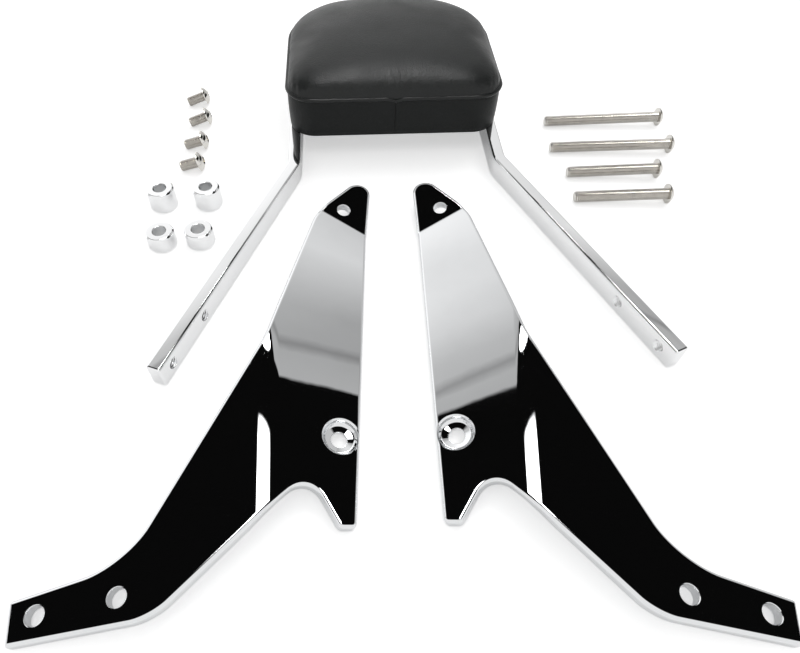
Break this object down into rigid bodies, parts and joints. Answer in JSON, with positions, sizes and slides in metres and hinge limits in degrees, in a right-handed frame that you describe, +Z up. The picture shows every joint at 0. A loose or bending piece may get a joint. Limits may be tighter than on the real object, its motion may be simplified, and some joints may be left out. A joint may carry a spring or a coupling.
{
  "type": "sissy bar",
  "caption": "Motorbike sissy bar laid out for fitting: chromed bent upright with a crowned black pad, two folded side plates, button-head screws, bolts and spacers.",
  "frame": {"origin": "middle of the layout's footprint, on the surface it lies on", "axes": "+Z up from that surface; +Y from the plates' arms to the top of the padded upright; +X from the short screws to the long bolts"},
  "size_m": [0.395, 0.4834, 0.0661],
  "materials": {
    "chrome": "polished",
    "stainless_steel": "satin",
    "zinc_steel": "satin",
    "vinyl": "satin",
    "piping": "satin",
    "board": "matte",
    "foam": "matte"
  },
  "bodies": {
    "root": {"upright_bar": "chrome", "pad_fixing_plate": "chrome", "pad_back_cover": "vinyl", "pad_base_board": "board", "pad_foam": "foam", "pad_side_band": "vinyl", "pad_face_cover": "vinyl", "pad_piping": "piping", "pad_tee_nut_1": "zinc_steel", "pad_tee_nut_2": "zinc_steel", "pad_tee_nut_3": "zinc_steel", "pad_tee_nut_4": "zinc_steel", "pad_screw_1": "zinc_steel", "pad_screw_2": "zinc_steel", "pad_screw_3": "zinc_steel", "pad_screw_4": "zinc_steel", "pad_washer_1": "zinc_steel", "pad_washer_2": "zinc_steel", "pad_washer_3": "zinc_steel", "pad_washer_4": "zinc_steel", "left_side_plate": "chrome", "right_side_plate": "chrome", "short_screw_1": "stainless_steel", "short_screw_2": "stainless_steel", "short_screw_3": "stainless_steel", "short_screw_4": "stainless_steel", "middle_bolt_1": "stainless_steel", "middle_bolt_2": "stainless_steel", "long_bolt_1": "stainless_steel", "long_bolt_2": "stainless_steel", "tall_spacer_1": "chrome", "tall_spacer_2": "chrome", "short_spacer_1": "chrome", "short_spacer_2": "chrome"}
  },
  "joints": []
}
